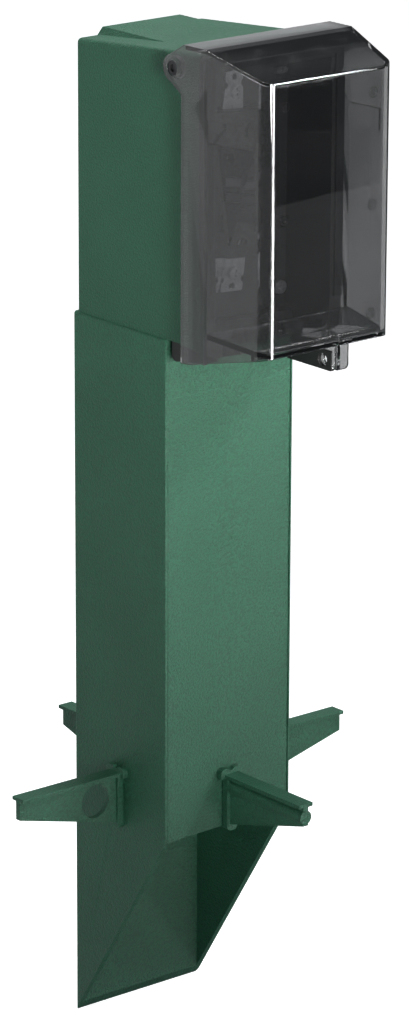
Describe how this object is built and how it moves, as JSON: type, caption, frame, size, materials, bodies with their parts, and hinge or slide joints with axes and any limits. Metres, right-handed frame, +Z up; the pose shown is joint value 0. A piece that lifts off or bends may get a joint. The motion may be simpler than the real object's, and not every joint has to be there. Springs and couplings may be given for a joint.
{
  "type": "garden power post",
  "caption": "Green plastic ground-stake post with soil fins and a hooded head that holds a recessed outlet behind a hinged clear weather lid.",
  "frame": {"origin": "ground line, on the axis of the post", "axes": "+Z up along the post, -Y towards the lid, +X to the right of someone facing the lid"},
  "size_m": [0.1996, 0.1947, 0.495],
  "materials": {
    "green_plastic": "grained moulded plastic",
    "smoked_clear": "polished smoke-tinted clear plastic",
    "black_plastic": "satin black moulded plastic",
    "outlet_black": "smooth black plastic",
    "gasket_rubber": "soft closed-cell foam",
    "zinc_steel": "zinc plated",
    "dark_steel": "blackened",
    "contact_brass": "plain brass",
    "green_screw": "green painted screw",
    "test_button": "dark grey button",
    "reset_button": "near-black button"
  },
  "bodies": {
    "post": {"post_body": "green_plastic", "front_panel": "green_plastic", "head_shell": "green_plastic", "fin_left": "green_plastic", "fin_right": "green_plastic", "fin_front": "green_plastic", "fin_back": "green_plastic", "recess_frame": "black_plastic", "lock_hasp": "black_plastic", "gland_body": "black_plastic", "gland_locknut": "black_plastic", "gland_cap": "black_plastic", "outlet_face": "outlet_black", "outlet_body": "outlet_black", "frame_gasket": "gasket_rubber", "lid_gasket": "gasket_rubber", "gland_seal": "gasket_rubber", "yoke": "zinc_steel", "collar_screws": "zinc_steel", "frame_screws": "zinc_steel", "yoke_screws": "zinc_steel", "test_spring": "zinc_steel", "reset_spring": "zinc_steel", "hasp_rivets": "zinc_steel", "hinge_pins": "dark_steel", "live_contacts": "contact_brass", "neutral_contacts": "contact_brass", "ground_contact": "contact_brass", "terminal_screws": "contact_brass", "ground_screw": "green_screw"},
    "lid": {"lid": "smoked_clear"},
    "test_button": {"test_button": "test_button"},
    "reset_button": {"reset_button": "reset_button"}
  },
  "joints": [
    {"name": "lid_hinge", "type": "hinge", "parent": "post", "child": "lid", "pos_m": [0, -0.0443, 0.2931], "axis": [-1, 0, 0], "range_deg": [0, 95]},
    {"name": "test_button_press", "type": "slide", "parent": "post", "child": "test_button", "axis": [0, 1, 0], "range_m": [0, 0.001], "stiffness_N_per_m": 400, "deforming": ["test_spring"]},
    {"name": "reset_button_press", "type": "slide", "parent": "post", "child": "reset_button", "axis": [0, 1, 0], "range_m": [0, 0.001], "stiffness_N_per_m": 400, "deforming": ["reset_spring"]}
  ]
}
